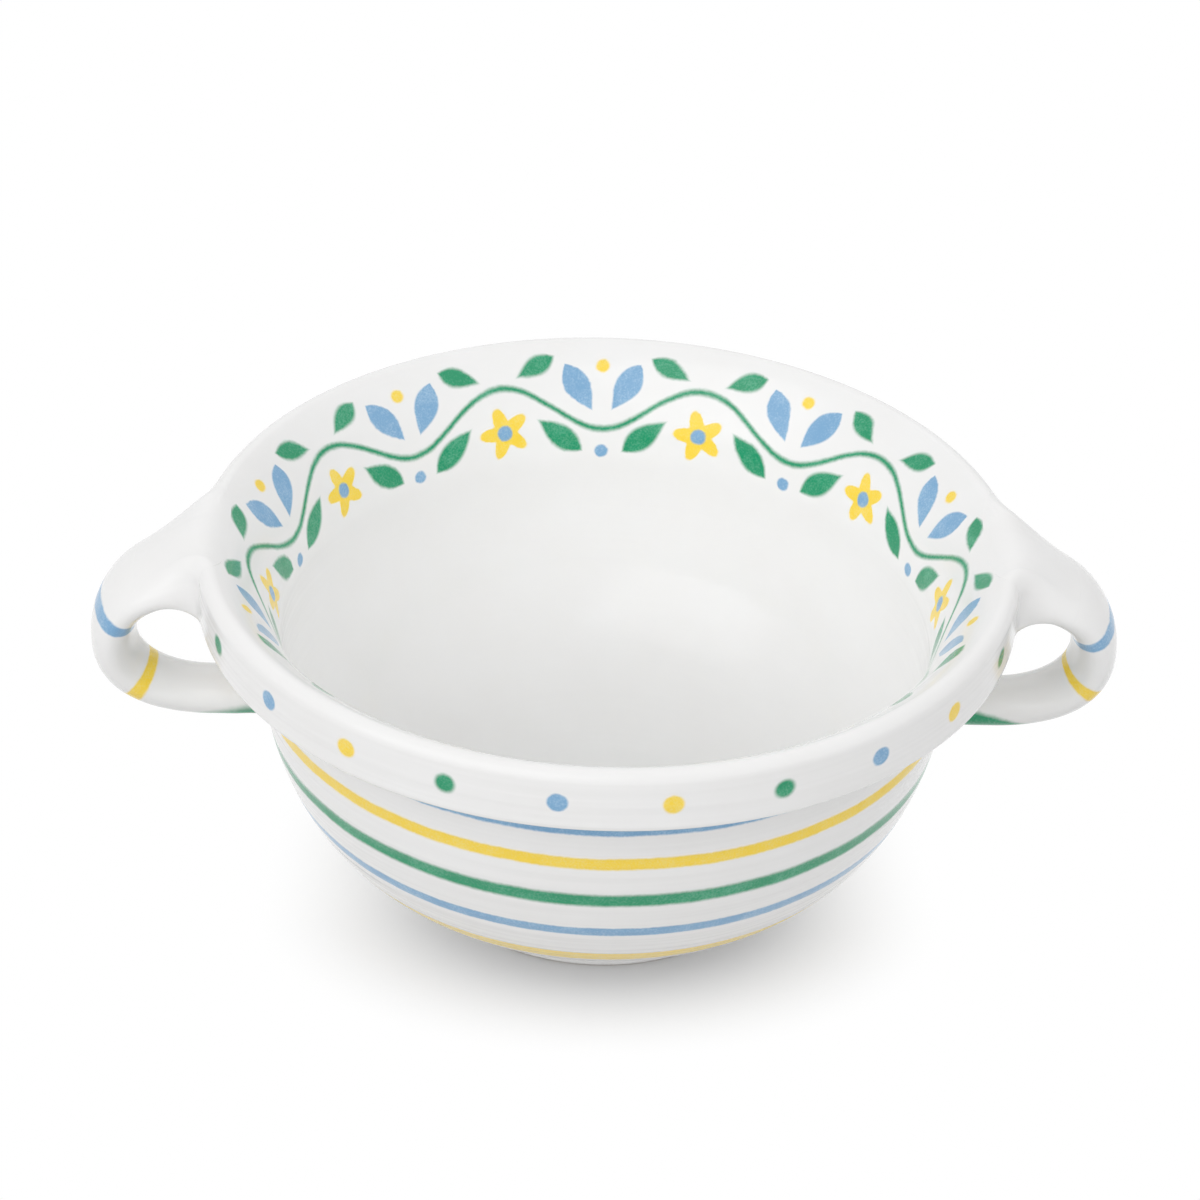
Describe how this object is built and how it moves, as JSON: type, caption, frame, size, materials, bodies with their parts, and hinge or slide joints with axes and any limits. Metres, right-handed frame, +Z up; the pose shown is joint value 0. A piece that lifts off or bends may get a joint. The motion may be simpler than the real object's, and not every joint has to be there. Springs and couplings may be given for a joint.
{
  "type": "lug soup bowl",
  "caption": "Round glazed earthenware soup bowl with a heavy turned-over rim, a foot ring and ear handles at opposite sides, banded in blue, yellow and green.",
  "frame": {"origin": "middle of the foot ring's standing face, on the table", "axes": "+Z up out of the bowl, +X through the right handle, +Y to the back"},
  "size_m": [0.177, 0.14, 0.068],
  "materials": {
    "body_glaze": "glossy white tin glaze over earthenware, painted in blue, yellow and green, bare clay under the foot ring",
    "handle_glaze": "glossy white tin glaze over earthenware, with painted rings",
    "slip_glaze": "slip wiped smooth round the handle roots, under the same white glaze"
  },
  "bodies": {
    "root": {"bowl_body": "body_glaze", "left_handle": "handle_glaze", "right_handle": "handle_glaze", "left_upper_slip_joint": "slip_glaze", "left_lower_slip_joint": "slip_glaze", "right_upper_slip_joint": "slip_glaze", "right_lower_slip_joint": "slip_glaze"}
  },
  "joints": []
}
